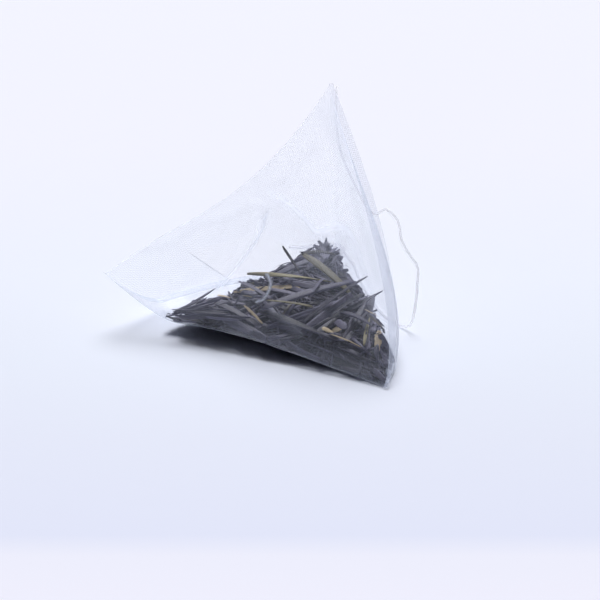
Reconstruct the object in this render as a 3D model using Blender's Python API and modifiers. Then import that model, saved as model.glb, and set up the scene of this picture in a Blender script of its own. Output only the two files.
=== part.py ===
"""Pyramid tea bag: a pouch of fine mesh with four corners, part filled with loose needle leaves.

The pouch is one sheet, folded round and welded along two edges that lie crosswise to each other, which
leaves two narrow fins. It rests on one face, sagged flat by the leaves. The left corner is curled up off
the surface. A thread is welded on at the apex, and hangs down behind to a small coil and a blank tag.
X runs to the right, Y away from the front, Z up. The origin is on the surface, under the pouch's middle.
"""

import math
import random

import bmesh
import bpy
from mathutils import Matrix, Vector
from mathutils.bvhtree import BVHTree
from mathutils.geometry import interpolate_bezier

MM = 0.001

# The pouch's main sizes, in millimetres, and its four fold corners.
BAG_WIDTH = 56.0
BAG_DEPTH = 58.4
BAG_HEIGHT = 50.1
LEFT_RAISED = 12.0
CORNER_RAISED = 0.3
APEX = Vector((0.2929 * BAG_WIDTH, 0.1216 * BAG_DEPTH, BAG_HEIGHT))
LEFT = Vector((-0.5107 * BAG_WIDTH, -0.0103 * BAG_DEPTH, LEFT_RAISED))
FRONT = Vector((0.4893 * BAG_WIDTH, -0.5120 * BAG_DEPTH, CORNER_RAISED))
BACK = Vector((0.3250 * BAG_WIDTH, 0.4880 * BAG_DEPTH, CORNER_RAISED))

# The sheet, its welds and its openings, in millimetres.
WALL = 0.2
FIN_WIDTH = 2.4
FIN_ROOT = 0.25
MESH_ROWS = 20
GAP_EVERY = 3
GAP_MARGIN = 0.5
FLAT_BELOW = 0.2

# The two welded edges, and which way their fins point.
FINS = (
    ("right_fin", ("apex", "front"), Vector((0.93, -0.22, 0.29)).normalized()),
    ("back_fin", ("left", "back"), Vector((-0.50, 0.86, 0.04)).normalized()),
)

# How the sheet departs from a flat-sided tetrahedron, in millimetres.
CURL_START = 0.74
CURL_POWER = 1.5
EDGE_BOWS = {
    "apex_left": (Vector((-0.8, -0.2, -5.7)), Vector((-1.0, 0.0, -5.9))),
    "apex_front": (Vector((3.7, -0.2, -2.4)), Vector((-2.1, 0.0, 2.8))),
    "apex_back": (Vector((-0.6, -1.8, -0.4)), Vector((0.0, 0.0, 0.0))),
    "left_front": (Vector((0.0, 2.5, 3.4)), Vector((0.0, 0.4, 2.4))),
    "left_back": (Vector((0.0, -0.8, 2.4)), Vector((0.0, 0.0, 1.2))),
    "front_back": (Vector((3.3, 0.0, 0.9)), Vector((5.6, 0.0, 0.4))),
}
SWELL_FRONT = 1.6
SWELL_BACK = 1.4
SWELL_RIGHT = 3.0
SAG_BASE = 5.0

# Soft folds: face, height, half width, and the route as shares of the face's corners.
FOLDS = (
    (
        "back",
        -0.9,
        1.8,
        ((0.66, 0.31, 0.03), (0.45, 0.38, 0.17), (0.22, 0.44, 0.34), (0.02, 0.50, 0.48)),
    ),
    (
        "back",
        0.8,
        1.6,
        ((0.62, 0.16, 0.22), (0.50, 0.10, 0.40), (0.46, 0.05, 0.49)),
    ),
    (
        "right",
        -0.9,
        1.6,
        ((0.52, 0.04, 0.44), (0.40, 0.16, 0.44), (0.24, 0.34, 0.42), (0.12, 0.50, 0.38)),
    ),
    (
        "front",
        -0.7,
        2.0,
        ((0.10, 0.50, 0.40), (0.16, 0.44, 0.40), (0.21, 0.40, 0.39)),
    ),
)

# The filling, in millimetres.
HEAP_HEIGHT = 5.6
HEAP_CORNER = 5.0
HEAP_ROWS = 36
HEAP_LIP = 0.35
SLOPE_FRONT = 7.5
SLOPE_BACK = 2.4
SLOPE_RIGHT = 1.0
SLOPE_LEFT = 9.0
RIDGES = 150
RIDGE_LENGTH = 9.0
RIDGE_WIDTH = 0.8
RIDGE_HEIGHT = 1.0
RIDGE_FULL = 3.0
RIDGE_TURN = (15, 45)
SEAT = 0.3
LEAF_THICKNESS = 0.45
LEAF_STEPS = 8
LEAF_SLOPE = 0.5
LEAF_TIP = 0.16
LEAF_TWIST = math.radians(50)
LEAF_BEND = 0.3
LEAF_TRIES = 16
LEAF_DRAWN_IN = 0.05
LEAF_SHORTENED = 0.02
LOOSE_LEAVES = 8
LOOSE_BACK = (0.24, 0.66)
LOOSE_SPREAD = (0.08, 0.92)
LOOSE_LENGTH = (6.0, 10.0)
LOOSE_WIDTH = (0.7, 1.5)
LOOSE_ARCH = 0.6
LOOSE_TURN = (10, 50)
LOOSE_STEP = 0.618
LOOSE_KINDS = ("dark_leaf", "dark_leaf", "dark_leaf", "olive_leaf")

# The heap's own corners, as shares of the base's left, front and back corners.
HEAP_LEFT = Vector((0.775, 0.17, 0.055))
HEAP_FRONT = Vector((0.025, 0.95, 0.025))
HEAP_BACK = Vector((0.03, 0.03, 0.94))

# The leaves that stand out: kind, middle as shares of the bag's width and depth, heading in degrees,
# length, width, pitch and arch.
CHOSEN_LEAVES = (
    ("dark_leaf", (0.266, 0.211), 79, 7.5, 1.2, 0, 0.2),
    ("dark_leaf", (0.312, 0.245), 68, 9.0, 1.2, 0, 0.2),
    ("dark_leaf", (0.179, 0.142), 24, 11.0, 1.2, 0, 0.3),
    ("dark_leaf", (0.259, -0.303), -37, 9.5, 1.2, 0, 0.2),
    ("dark_leaf", (0.402, -0.397), -40, 8.0, 1.2, 0, 0.2),
    ("dark_leaf", (-0.179, -0.017), -18, 10.5, 0.8, 0, 0.2),
    ("dark_leaf", (-0.196, 0.048), -5, 8.0, 0.7, 0, 0.2),
    ("dark_leaf", (-0.123, -0.010), -15, 11.7, 0.9, 0, 0.3),
    ("dark_leaf", (0.121, -0.080), -36, 9.4, 1.0, 0, 0.3),
    ("dark_leaf", (0.261, -0.082), -16, 8.3, 0.9, 0, 0.2),
    ("dark_leaf", (0.154, -0.024), -29, 9.2, 1.0, 0, 0.3),
    ("dark_leaf", (0.225, -0.140), 40, 11.0, 1.2, 0, 0.4),
    ("dark_leaf", (0.296, -0.212), 49, 13.0, 1.5, 0, 0.4),
    ("dark_leaf", (0.452, -0.200), 90, 9.0, 1.3, 0, 0.2),
    ("dark_leaf", (0.184, -0.223), -38, 20.0, 1.8, 0, 0.4),
    ("dark_leaf", (-0.052, -0.094), -45, 14.0, 1.4, 0, 0.4),
    ("stem", (0.145, -0.104), 63, 5.0, 0.6, 0, 0.1),
    ("olive_leaf", (0.152, -0.137), 8, 9.5, 0.7, 0, 0.2),
    ("straw_piece", (0.288, -0.265), 22, 2.8, 1.5, 0, 0.1),
    ("straw_piece", (0.329, -0.224), 38, 3.6, 1.6, 0, 0.1),
    ("olive_leaf", (0.429, -0.269), 83, 11.0, 0.7, 0, 0.3),
    ("straw_piece", (0.382, -0.365), -35, 7.8, 0.6, 0, 0.2),
    ("straw_piece", (0.489, -0.329), 85, 6.5, 1.7, 0, 0.1),
    ("stem", (0.479, -0.243), -35, 4.5, 0.6, 0, 0.1),
    ("straw_piece", (0.486, -0.183), 0, 3.5, 0.5, 0, 0.0),
    ("straw_piece", (0.023, -0.146), -40, 5.5, 1.5, 0, 0.1),
    ("straw_piece", (-0.082, -0.012), 10, 3.0, 0.8, 0, 0.1),
    ("straw_piece", (0.009, 0.015), -38, 3.3, 1.3, 0, 0.1),
    ("dark_leaf", (0.214, -0.077), 20, 19.5, 1.8, 0, 0.5),
    ("dark_leaf", (0.357, -0.132), 55, 11.5, 1.4, 4, 0.3),
    ("dark_leaf", (0.345, -0.132), 33, 18.5, 1.3, 6, 0.5),
    ("straw_piece", (0.120, 0.039), -6, 19.0, 1.5, 0, 0.5),
    ("olive_leaf", (0.150, 0.062), -10, 17.0, 1.0, -4, 0.4),
    ("stem", (0.158, 0.125), -20, 6.5, 0.8, -60, 0.0),
    ("olive_leaf", (0.286, 0.065), -39, 13.0, 1.7, -22, 0.5),
)

# The thread and its tag, in millimetres.
THREAD = 0.5
THREAD_ROUTE = (
    (18.0, 7.3, 49.3),
    (17.9, 9.5, 45.5),
    (17.8, 12.2, 40.0),
    (18.4, 14.4, 33.5),
    (19.6, 13.6, 29.5),
    (21.8, 9.6, 26.2),
    (23.9, 5.2, 23.9),
    (25.4, 3.2, 23.2),
    (26.6, 2.8, 23.8),
    (27.8, 2.6, 24.6),
    (30.2, 2.0, 22.2),
    (30.9, 1.4, 18.4),
    (32.5, 0.7, 15.4),
    (34.1, -0.2, 13.2),
    (34.1, -1.4, 9.8),
    (33.7, -2.4, 5.8),
    (33.0, -2.6, 2.2),
    (31.6, -1.6, 0.5),
    (29.0, 1.4, 0.27),
    (26.4, 6.8, 0.27),
    (24.2, 14.3, 0.27),
    (22.4, 21.8, 0.27),
    (21.6, 28.3, 0.27),
    (21.5, 32.3, 0.27),
    (20.2, 34.5, 0.35),
)
TAIL_ROUTE = (
    (12.8, 35.0, 0.35),
    (11.4, 36.5, 0.27),
    (9.9, 37.4, 0.27),
    (8.5, 37.1, 0.27),
)
THREAD_STEP = 1.6
COIL_BEHIND = 6.0
COIL_CENTRE = (16.5, BACK.y + COIL_BEHIND)
COIL_RADIUS = 2.75
COIL_HEIGHT = 1.2
TAG_SIDE = 18.0
TAG_THICKNESS = 0.3
TAG_TURN = 122
TAG_CORNER = 1.0

FACES = {
    "front": ("apex", "left", "front"),
    "right": ("apex", "front", "back"),
    "back": ("apex", "left", "back"),
    "base": ("left", "front", "back"),
}
CORNERS = {"apex": APEX, "left": LEFT, "front": FRONT, "back": BACK}
SWELLS = {"front": SWELL_FRONT, "right": SWELL_RIGHT, "back": SWELL_BACK, "base": 0.0}


def clear_scene():
    for item in list(bpy.data.objects):
        bpy.data.objects.remove(item, do_unlink=True)


def new_collection(name):
    collection = bpy.data.collections.new(name)
    bpy.context.scene.collection.children.link(collection)
    return collection


def new_material(name, colour, roughness):
    material = bpy.data.materials.new(name)
    material.use_nodes = True
    shader = material.node_tree.nodes["Principled BSDF"]
    shader.inputs["Base Color"].default_value = (*colour, 1.0)
    shader.inputs["Roughness"].default_value = roughness
    shader.inputs["Metallic"].default_value = 0.0
    return material


def new_object(name, mesh, collection, material):
    item = bpy.data.objects.new(name, mesh)
    collection.objects.link(item)
    mesh.materials.append(material)
    return item


def mesh_from(name, shape):
    mesh = bpy.data.meshes.new(name)
    shape.to_mesh(mesh)
    shape.free()
    return mesh


def face_normal(face):
    """The outward normal of a flat side of the tetrahedron."""
    first, second, third = (CORNERS[corner] for corner in FACES[face])
    normal = (second - first).cross(third - first).normalized()
    middle = (APEX + LEFT + FRONT + BACK) / 4
    return normal if normal.dot(first - middle) > 0 else -normal


NORMALS = {face: face_normal(face) for face in FACES}


def curled_share(left, apex):
    """The left corner's share in the height: it curls up late along the base, and evenly below the apex."""
    upper = left + apex
    if upper <= CURL_START:
        return 0.0
    curl = ((upper - CURL_START) / (1 - CURL_START)) ** CURL_POWER
    return left / upper * curl


def distance_to_route(point, route):
    """The shortest distance from a point to a line of points."""
    shortest = math.inf
    for start, end in zip(route, route[1:]):
        run = end - start
        along = max(0.0, min(1.0, (point - start).dot(run) / run.length_squared))
        shortest = min(shortest, (point - start - along * run).length)
    return shortest


def all_shares(corners, shares):
    """The shares of all four corners, where only these corners have any."""
    return {**dict.fromkeys(CORNERS, 0.0), **dict(zip(corners, shares))}


def flat_point(shares):
    return sum((shares[corner] * CORNERS[corner] for corner in CORNERS), Vector())


def fold_routes():
    """The folds, with their routes as points on the flat sides."""
    routes = []
    for face, height, half_width, route in FOLDS:
        points = [flat_point(all_shares(FACES[face], shares)) for shares in route]
        routes.append((face, height, half_width, points))
    return routes


ROUTES = fold_routes()


def pouch_point(shares):
    """The place on the pouch's outer surface that belongs to these shares of the four corners."""
    point = flat_point(shares)
    flat = point.copy()
    point.z += LEFT.z * (curled_share(shares["left"], shares["apex"]) - shares["left"])
    for edge, (bow, skew) in EDGE_BOWS.items():
        first, second = (shares[corner] for corner in edge.split("_"))
        point += 4 * first * second * (bow + (first - second) * skew)
    for face, corners in FACES.items():
        product = 27 * math.prod(shares[corner] for corner in corners)
        point += product * SWELLS[face] * NORMALS[face]
    point.z -= 27 * shares["left"] * shares["front"] * shares["back"] * SAG_BASE
    for face, height, half_width, route in ROUTES:
        if min(shares[corner] for corner in FACES[face]) > 0:
            reach = distance_to_route(flat, route) / half_width
            point += height * math.exp(-reach * reach) * NORMALS[face]
    point.z = max(point.z, 0.0)
    return point


def shares_of(place, corners):
    """The shares of the corners at a place, for a tetrahedron whose corners are given in order."""
    last = corners[-1]
    frame = Matrix([corner - last for corner in corners[:-1]]).transposed()
    found = frame.inverted() @ (place - last)
    shares = [max(0.0, share) for share in (*found, 1 - sum(found))]
    total = sum(shares)
    # A share this small is rounding: the vertex is on the face opposite.
    return [0.0 if share < 1e-5 else share / total for share in shares]


def tetrahedron(rows):
    """A tetrahedron primitive, cut into rows of triangles, with the four shares of each vertex."""
    shape = bmesh.new()
    bmesh.ops.create_cone(shape, segments=3, radius1=1.0, radius2=0.0, depth=1.5, cap_ends=True)
    bmesh.ops.remove_doubles(shape, verts=shape.verts, dist=0.001)
    top = max(shape.verts, key=lambda vert: vert.co.z).co.copy()
    base = [vert.co.copy() for vert in shape.verts if vert.co.z < 0]
    base.sort(key=lambda co: math.atan2(co.y, co.x))
    bmesh.ops.subdivide_edges(shape, edges=shape.edges, cuts=rows - 1, use_grid_fill=True)
    corners = [top, *base]
    names = ("apex", "left", "front", "back")
    shares = {vert: dict(zip(names, shares_of(vert.co, corners))) for vert in shape.verts}
    return shape, shares


def in_gap_pattern(face, shares, rows):
    """Whether this small triangle is one of the evenly spaced ones that are opened."""
    middle = {corner: sum(shares[vert][corner] for vert in face.verts) / 3 for corner in CORNERS}
    steps = [int(share * rows) for share in middle.values() if share > 1e-4]
    upright = len(steps) == 3 and sum(steps) == rows - 1
    return upright and all(step % GAP_EVERY == 1 for step in steps[:2]) and min(steps) > 0


def make_pouch(collection, cutters, material):
    shape, shares = tetrahedron(MESH_ROWS)
    for vert in shape.verts:
        vert.co = pouch_point(shares[vert]) * MM
    bmesh.ops.recalc_face_normals(shape, faces=shape.faces)
    outside = BVHTree.FromBMesh(shape)
    resting = {face for face in shape.faces if max(vert.co.z for vert in face.verts) < FLAT_BELOW * MM}
    raised = [face for face in shape.faces if face not in resting]
    opened = [face for face in raised if in_gap_pattern(face, shares, MESH_ROWS)]
    bmesh.ops.inset_individual(shape, faces=opened, thickness=GAP_MARGIN * MM)
    bmesh.ops.delete(shape, geom=opened, context="FACES")
    pouch = new_object("mesh_pouch", mesh_from("mesh_pouch", shape), collection, material)
    wall = pouch.modifiers.new("wall", "SOLIDIFY")
    wall.thickness = WALL * MM
    wall.offset = -1.0
    for name, edge, side in FINS:
        fin = make_fin(name, edge, side, cutters, material)
        weld = pouch.modifiers.new(name, "BOOLEAN")
        weld.operation = "UNION"
        weld.object = fin
    print("pouch:", len(opened), "gaps")
    return pouch, outside


def make_fin(name, edge, side, collection, material):
    """A flat strip, two sheets thick, that follows one edge of the pouch and runs into it a little."""
    shape = bmesh.new()
    bmesh.ops.create_grid(shape, x_segments=MESH_ROWS, y_segments=1, size=0.5)
    for vert in shape.verts:
        along = vert.co.x + 0.5
        outward = (vert.co.y + 0.5) * (FIN_WIDTH + FIN_ROOT) - FIN_ROOT
        place = pouch_point(all_shares(edge, (1 - along, along))) + outward * side
        # Half of the fin's two sheets is one wall, and it stays just clear of the surface.
        place.z = max(place.z, 1.2 * WALL)
        vert.co = place * MM
    fin = new_object(name, mesh_from(name, shape), collection, material)
    sheets = fin.modifiers.new("sheets", "SOLIDIFY")
    sheets.thickness = 2 * WALL * MM
    sheets.offset = 0.0
    fin.hide_render = True
    fin.display_type = "WIRE"
    return fin


def heap_ridges():
    """Short lines in plan, where leaves show as ridges on the heap."""
    draw = random.Random(4)
    ridges = []
    for _ in range(RIDGES):
        left, front = sorted((draw.random(), draw.random()))
        middle = flat_point({"apex": 0.0, "left": left, "front": front - left, "back": 1 - front})
        turn = math.radians(draw.gauss(*RIDGE_TURN))
        half = Vector((math.cos(turn), math.sin(turn), 0.0)) * RIDGE_LENGTH * draw.uniform(0.3, 0.6)
        middle.z = 0.0
        ridges.append((middle - half, middle + half, draw.uniform(0.3, 1.0)))
    return ridges


def heap_height(place, parts, ridges):
    """How thick the heap is at a place in plan, whose parts are shares of the heap's own corners."""
    left, front, back = parts
    side = (FRONT - BACK).length
    height = HEAP_HEIGHT + HEAP_CORNER * back ** 3
    for distance, slope in (
        (back, SLOPE_FRONT),
        (front, SLOPE_BACK),
        (left, SLOPE_RIGHT),
        (1 - left, SLOPE_LEFT),
    ):
        height *= 1 - math.exp(-distance * side / slope)
    flat = Vector((place.x, place.y, 0.0))
    ridge = 0.0
    for start, end, share in ridges:
        reach = distance_to_route(flat, (start, end)) / RIDGE_WIDTH
        ridge = max(ridge, share * math.exp(-reach * reach))
    return height + RIDGE_HEIGHT * ridge * min(1.0, height / RIDGE_FULL)


def room_above(place, outside):
    """How far up from a place inside the pouch its sheet is, with the wall and the clearance taken off."""
    hit, normal, _, _ = outside.ray_cast(place * MM, Vector((0.0, 0.0, 1.0)))
    if hit is None:
        return 0.0
    return hit.z / MM - place.z - (WALL + SEAT) / max(0.25, abs(normal.z))


def make_heap(collection, material, outside):
    """The leaves below the ones that show, as one solid that fills the bottom of the pouch."""
    shape = bmesh.new()
    bmesh.ops.create_cone(shape, segments=3, radius1=1.0, radius2=1.0, depth=1.0, cap_ends=True)
    low = min(vert.co.z for vert in shape.verts)
    corners = [vert.co.copy() for vert in shape.verts if vert.co.z < 0]
    level = [edge for edge in shape.edges if abs(edge.verts[0].co.z - edge.verts[1].co.z) < 0.5]
    bmesh.ops.subdivide_edges(shape, edges=level, cuts=HEAP_ROWS - 1, use_grid_fill=True)
    ridges = heap_ridges()
    anchor = Vector((0.0, 0.0, 1.0))
    for vert in shape.verts:
        upper = vert.co.z > 0
        flat = Vector((vert.co.x, vert.co.y, low))
        parts = shares_of(flat, [*corners, anchor])[:3]
        left, front, back = parts[0] * HEAP_LEFT + parts[1] * HEAP_FRONT + parts[2] * HEAP_BACK
        place = pouch_point({"apex": 0.0, "left": left, "front": front, "back": back})
        _, normal, _, _ = outside.find_nearest(place * MM)
        place -= normal * (WALL + SEAT)
        if upper:
            place.z += max(HEAP_LIP, min(heap_height(place, parts, ridges), room_above(place, outside)))
        vert.co = place * MM
    if shape.calc_volume(signed=True) < 0:
        bmesh.ops.reverse_faces(shape, faces=shape.faces)
    tree = BVHTree.FromBMesh(shape)
    heap = new_object("tea_heap", mesh_from("tea_heap", shape), collection, material)
    return heap, tree


def leaf_shape(length, width, arch, bend, twist):
    """A rolled needle leaf along X, thickest just before its middle and drawn to a point at each end."""
    shape = bmesh.new()
    bmesh.ops.create_cube(shape, size=1.0)
    runs = [edge for edge in shape.edges if abs(edge.verts[0].co.x - edge.verts[1].co.x) > 0.5]
    bmesh.ops.subdivide_edges(shape, edges=runs, cuts=LEAF_STEPS - 1, use_grid_fill=True)
    for vert in shape.verts:
        along = vert.co.x + 0.5
        full = LEAF_TIP + (1 - LEAF_TIP) * math.sin(math.pi * (0.04 + 0.92 * along ** 0.8)) ** 0.7
        thick = LEAF_THICKNESS * (1 + full) / 2
        roll = Matrix.Rotation(twist * (along - 0.5), 3, "X")
        section = roll @ Vector((0.0, vert.co.y * width * full, vert.co.z * thick))
        bow = 4 * along * (1 - along)
        vert.co = Vector((vert.co.x * length, section.y + bend * bow, section.z + arch * bow)) * MM
    return shape


def highest_below(place, trees):
    """The height of the uppermost surface under a place."""
    above = Vector((place.x, place.y, 0.2))
    hits = (tree.ray_cast(above, Vector((0.0, 0.0, -1.0)))[0] for tree in trees)
    return max((hit.z for hit in hits if hit), default=None)


def seated(shape, turn, middle, pitch, trees):
    """Turns a leaf to its heading, tilts it with what lies below, and lowers it until it almost touches."""
    heading = Matrix.Rotation(math.radians(turn), 4, "Z")
    ends = []
    for end in (min(shape.verts, key=lambda v: v.co.x), max(shape.verts, key=lambda v: v.co.x)):
        place = heading @ (end.co * 0.8) + middle
        ends.append(highest_below(place, trees))
    if None in ends:
        return False
    reach = 0.8 * (max(v.co.x for v in shape.verts) - min(v.co.x for v in shape.verts))
    slope = max(-LEAF_SLOPE, min(LEAF_SLOPE, math.atan2(ends[1] - ends[0], reach)))
    tilt = Matrix.Rotation(-slope - math.radians(pitch), 4, "Y")
    bmesh.ops.transform(shape, matrix=heading @ tilt, verts=shape.verts)
    bmesh.ops.translate(shape, vec=middle, verts=shape.verts)
    lift = -math.inf
    for edge in shape.edges:
        for share in (0.0, 0.25, 0.5, 0.75):
            place = edge.verts[0].co.lerp(edge.verts[1].co, share)
            below = highest_below(place, trees)
            if below is None:
                return False
            lift = max(lift, below + SEAT * MM - place.z)
    bmesh.ops.translate(shape, vec=(0.0, 0.0, lift), verts=shape.verts)
    while any(BVHTree.FromBMesh(shape).overlap(tree) for tree in trees):
        bmesh.ops.translate(shape, vec=(0.0, 0.0, SEAT * MM), verts=shape.verts)
    return True


def inside(shape, outside):
    """Whether all of a leaf stays clear of the pouch's wall."""
    for vert in shape.verts:
        place, normal, _, _ = outside.find_nearest(vert.co)
        if (vert.co - place).dot(normal) > -(WALL + SEAT) * MM:
            return False
    return True


def place_leaf(row, trees, outside):
    """One leaf where it is wanted, drawn towards the heap's middle as far as the pouch needs."""
    _, (across, back), turn, length, width, pitch, arch = row
    centre = Vector(((LEFT.x + FRONT.x + BACK.x) / 3, (LEFT.y + FRONT.y + BACK.y) / 3, 0.0))
    wanted = Vector((across * BAG_WIDTH, back * BAG_DEPTH, 0.0))
    for step in range(LEAF_TRIES):
        middle = wanted.lerp(centre, LEAF_DRAWN_IN * step) * MM
        shortened = length * (1 - LEAF_SHORTENED * step)
        flatter = pitch * (1 - step / LEAF_TRIES)
        shape = leaf_shape(shortened, width, arch, LEAF_BEND * arch, LEAF_TWIST)
        if seated(shape, turn, middle, flatter, trees) and inside(shape, outside):
            return shape
        shape.free()
    return None


def loose_rows():
    """Rows for the leaves that lie as they fell, on the slope towards the back corner."""
    draw = random.Random(5)
    rows = []
    for number in range(LOOSE_LEAVES):
        back = LOOSE_BACK[0] + (LOOSE_BACK[1] - LOOSE_BACK[0]) * (number + 0.5) / LOOSE_LEAVES
        across = number * LOOSE_STEP % 1
        left = (LOOSE_SPREAD[0] + (LOOSE_SPREAD[1] - LOOSE_SPREAD[0]) * across) * (1 - back)
        middle = flat_point({"apex": 0.0, "left": left, "front": 1 - left - back, "back": back})
        kind = LOOSE_KINDS[number % len(LOOSE_KINDS)]
        turn = draw.gauss(*LOOSE_TURN)
        length = draw.uniform(*LOOSE_LENGTH)
        width = draw.uniform(*LOOSE_WIDTH)
        place = (middle.x / BAG_WIDTH, middle.y / BAG_DEPTH)
        rows.append((kind, place, turn, length, width, 0, draw.uniform(0.0, LOOSE_ARCH)))
    return rows


def make_leaves(collection, materials, heap, outside):
    trees = [heap]
    counts = {}
    flat = [row for row in CHOSEN_LEAVES if not row[5]]
    standing = [row for row in CHOSEN_LEAVES if row[5]]
    for row in (*flat, *loose_rows(), *standing):
        shape = place_leaf(row, trees, outside)
        if shape is None:
            print("no room for", row[0], row[1])
            continue
        bmesh.ops.recalc_face_normals(shape, faces=shape.faces)
        trees.append(BVHTree.FromBMesh(shape))
        kind = row[0]
        counts[kind] = counts.get(kind, 0) + 1
        name = f"{kind}_{counts[kind]:02d}"
        new_object(name, mesh_from(name, shape), collection, materials[kind])
    print("leaves:", counts)


def smooth_route(route, step):
    """Points at even steps along a smooth curve through the route's own points."""
    points = [Vector(point) for point in route]
    before = [points[0] * 2 - points[1], *points, points[-1] * 2 - points[-2]]
    dense = []
    for number in range(1, len(before) - 2):
        start, end = before[number], before[number + 1]
        lead = start + (end - before[number - 1]) / 6
        trail = end - (before[number + 2] - start) / 6
        dense += interpolate_bezier(start, lead, trail, end, 24)[: -1]
    dense.append(points[-1])
    lengths = [0.0]
    for start, end in zip(dense, dense[1:]):
        lengths.append(lengths[-1] + (end - start).length)
    count = max(2, round(lengths[-1] / step))
    even = []
    for number in range(count + 1):
        wanted = lengths[-1] * number / count
        after = next(i for i, length in enumerate(lengths) if length >= wanted - 1e-9)
        if after == 0:
            even.append(dense[0])
            continue
        share = (wanted - lengths[after - 1]) / (lengths[after] - lengths[after - 1])
        even.append(dense[after - 1].lerp(dense[after], share))
    return even


def make_tube(name, route, collection, material):
    points = smooth_route(route, THREAD_STEP)
    curve = bpy.data.curves.new(name, "CURVE")
    curve.dimensions = "3D"
    curve.bevel_depth = THREAD / 2 * MM
    curve.bevel_resolution = 2
    curve.use_fill_caps = True
    spline = curve.splines.new("POLY")
    spline.points.add(len(points) - 1)
    for target, point in zip(spline.points, points):
        target.co = (*(point * MM), 1.0)
    print(name, len(points), "points")
    return new_object(name, curve, collection, material)


def make_coil(collection, material):
    """The outer shape of the wound thread: a flat ring."""
    shape = bmesh.new()
    half = COIL_HEIGHT / 2
    # Down the outer side and up the inner one, so that the turned ring faces out.
    corners = ((THREAD, half), (THREAD, -half), (-THREAD, -half), (-THREAD, half))
    verts = [shape.verts.new(Vector((COIL_RADIUS + across, 0.0, up)) * MM) for across, up in corners]
    for start, end in zip(verts, (*verts[1:], verts[0])):
        shape.edges.new((start, end))
    coil = new_object("thread_coil", mesh_from("thread_coil", shape), collection, material)
    coil.location = Vector((*COIL_CENTRE, half)) * MM
    turned = coil.modifiers.new("turn", "SCREW")
    turned.steps = turned.render_steps = 24
    turned.use_merge_vertices = True
    turned.merge_threshold = 0.00001
    return coil


def make_tag(collection, material):
    """A square of folded paper, held by the thread at the middle of its near side."""
    shape = bmesh.new()
    bmesh.ops.create_cube(shape, size=1.0)
    bmesh.ops.scale(shape, vec=Vector((TAG_SIDE, TAG_SIDE, TAG_THICKNESS)) * MM, verts=shape.verts)
    half = TAG_THICKNESS * MM / 2
    upright = [edge for edge in shape.edges if abs(edge.verts[0].co.z - edge.verts[1].co.z) > half]
    bmesh.ops.bevel(shape, geom=upright, offset=TAG_CORNER * MM, segments=2, profile=0.5, affect="EDGES")
    tag = new_object("paper_tag", mesh_from("paper_tag", shape), collection, material)
    end = Vector(TAIL_ROUTE[-1])
    turn = math.radians(TAG_TURN)
    away = Vector((-math.sin(turn), math.cos(turn), 0.0)) * (TAG_SIDE / 2 + SEAT)
    tag.location = Vector((end.x + away.x, end.y + away.y, TAG_THICKNESS / 2)) * MM
    tag.rotation_euler.z = turn
    return tag


def main():
    clear_scene()
    parts = new_collection("pyramid_tea_bag")
    cutters = new_collection("weld_strips")
    cutters.hide_render = True
    mesh_white = new_material("mesh_white", (0.90, 0.92, 0.98), 0.6)
    thread_white = new_material("thread_white", (0.92, 0.92, 0.95), 0.8)
    paper_white = new_material("paper_white", (0.93, 0.93, 0.95), 0.8)
    materials = {
        "dark_leaf": new_material("dark_leaf", (0.10, 0.10, 0.11), 0.7),
        "olive_leaf": new_material("olive_leaf", (0.25, 0.24, 0.14), 0.7),
        "straw_piece": new_material("straw_piece", (0.55, 0.46, 0.30), 0.75),
        "stem": new_material("stem", (0.16, 0.15, 0.14), 0.7),
    }
    heap_brown = new_material("heap_brown", (0.08, 0.08, 0.09), 0.8)
    _, outside = make_pouch(parts, cutters, mesh_white)
    _, heap = make_heap(parts, heap_brown, outside)
    make_leaves(parts, materials, heap, outside)
    make_tube("thread", THREAD_ROUTE, parts, thread_white)
    make_tube("thread_tail", TAIL_ROUTE, parts, thread_white)
    make_coil(parts, thread_white)
    make_tag(parts, paper_white)


main()
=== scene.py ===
# %% [markdown]
# A pyramid tea bag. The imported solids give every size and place. This script gives the bag its looks:
# the sheer mesh, the hundreds of needle leaves inside it, and the thread with its paper tag.

# %% Load the frame
import math
import random

import bmesh
import bpy
import numpy as np
from mathutils import Matrix, Vector
from mathutils.bvhtree import BVHTree
from mathutils.geometry import interpolate_bezier


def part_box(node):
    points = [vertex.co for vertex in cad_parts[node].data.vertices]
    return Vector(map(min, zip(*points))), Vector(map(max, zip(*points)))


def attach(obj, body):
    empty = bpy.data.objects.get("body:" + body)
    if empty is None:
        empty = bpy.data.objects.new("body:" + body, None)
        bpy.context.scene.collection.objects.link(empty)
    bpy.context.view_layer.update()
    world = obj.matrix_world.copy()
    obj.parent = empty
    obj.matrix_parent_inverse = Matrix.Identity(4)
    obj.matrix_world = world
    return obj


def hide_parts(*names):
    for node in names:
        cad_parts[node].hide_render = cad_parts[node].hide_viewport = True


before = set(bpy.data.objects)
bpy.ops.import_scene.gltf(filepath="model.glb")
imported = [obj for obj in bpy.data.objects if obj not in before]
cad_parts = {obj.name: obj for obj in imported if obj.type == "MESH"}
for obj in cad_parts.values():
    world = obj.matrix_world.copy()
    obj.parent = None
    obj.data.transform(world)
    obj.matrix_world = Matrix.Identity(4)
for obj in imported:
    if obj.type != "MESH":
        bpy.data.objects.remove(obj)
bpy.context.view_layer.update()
MM = 0.001
print("solids:", len(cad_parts))

# %% [markdown]
# The camera looks down on the bag at 25 degrees, square to the X axis. The photograph is a close-up with a
# long lens, so lines hardly run together, and an orthographic camera keeps the same proportions.

# %% Camera
TILT = math.radians(25)
VIEW_MIDDLE = Vector((10.6, -22.6, 16.3)) * MM
VIEW_WIDTH = 120 * MM
CAMERA_AWAY = 0.6


def add_object(name, data):
    """A new object in the scene."""
    made = bpy.data.objects.new(name, data)
    bpy.context.scene.collection.objects.link(made)
    return made


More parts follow.
